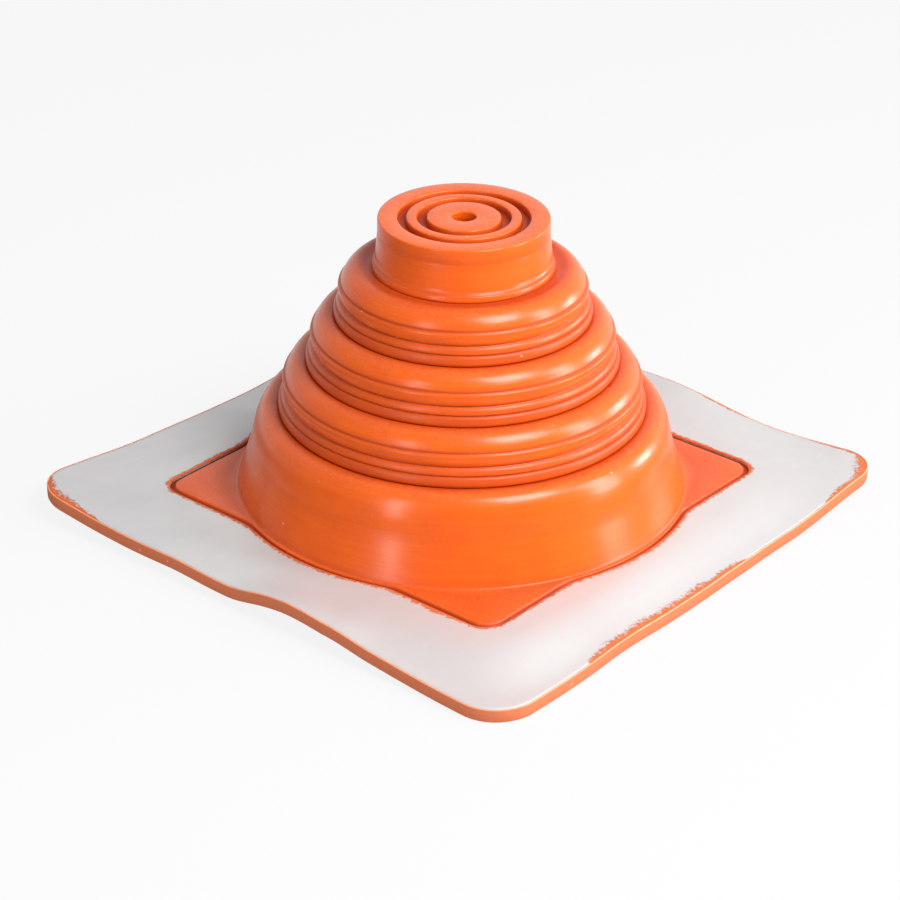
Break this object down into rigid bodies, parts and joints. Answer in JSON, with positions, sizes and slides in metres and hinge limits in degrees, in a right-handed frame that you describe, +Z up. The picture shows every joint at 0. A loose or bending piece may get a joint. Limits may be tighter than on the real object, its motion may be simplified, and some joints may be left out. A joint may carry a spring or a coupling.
{
  "type": "pipe flashing boot",
  "caption": "Small silicone pipe flashing boot: a stepped, ribbed cone with a closed top on a square base faced with a soft, hand-bent aluminium flange.",
  "frame": {"origin": "on the cone's axis, at the plane that the sealing rib under the pad stands on", "axes": "+Z up along the pipe, X and Y along the sides of the square base"},
  "size_m": [0.1142, 0.1142, 0.058],
  "materials": {
    "silicone": "smooth satin red-orange silicone rubber",
    "aluminium": "dull mill-finish soft sheet with thin smears of silicone"
  },
  "bodies": {
    "root": {"silicone_boot": "silicone", "aluminium_flange": "aluminium"}
  },
  "joints": []
}
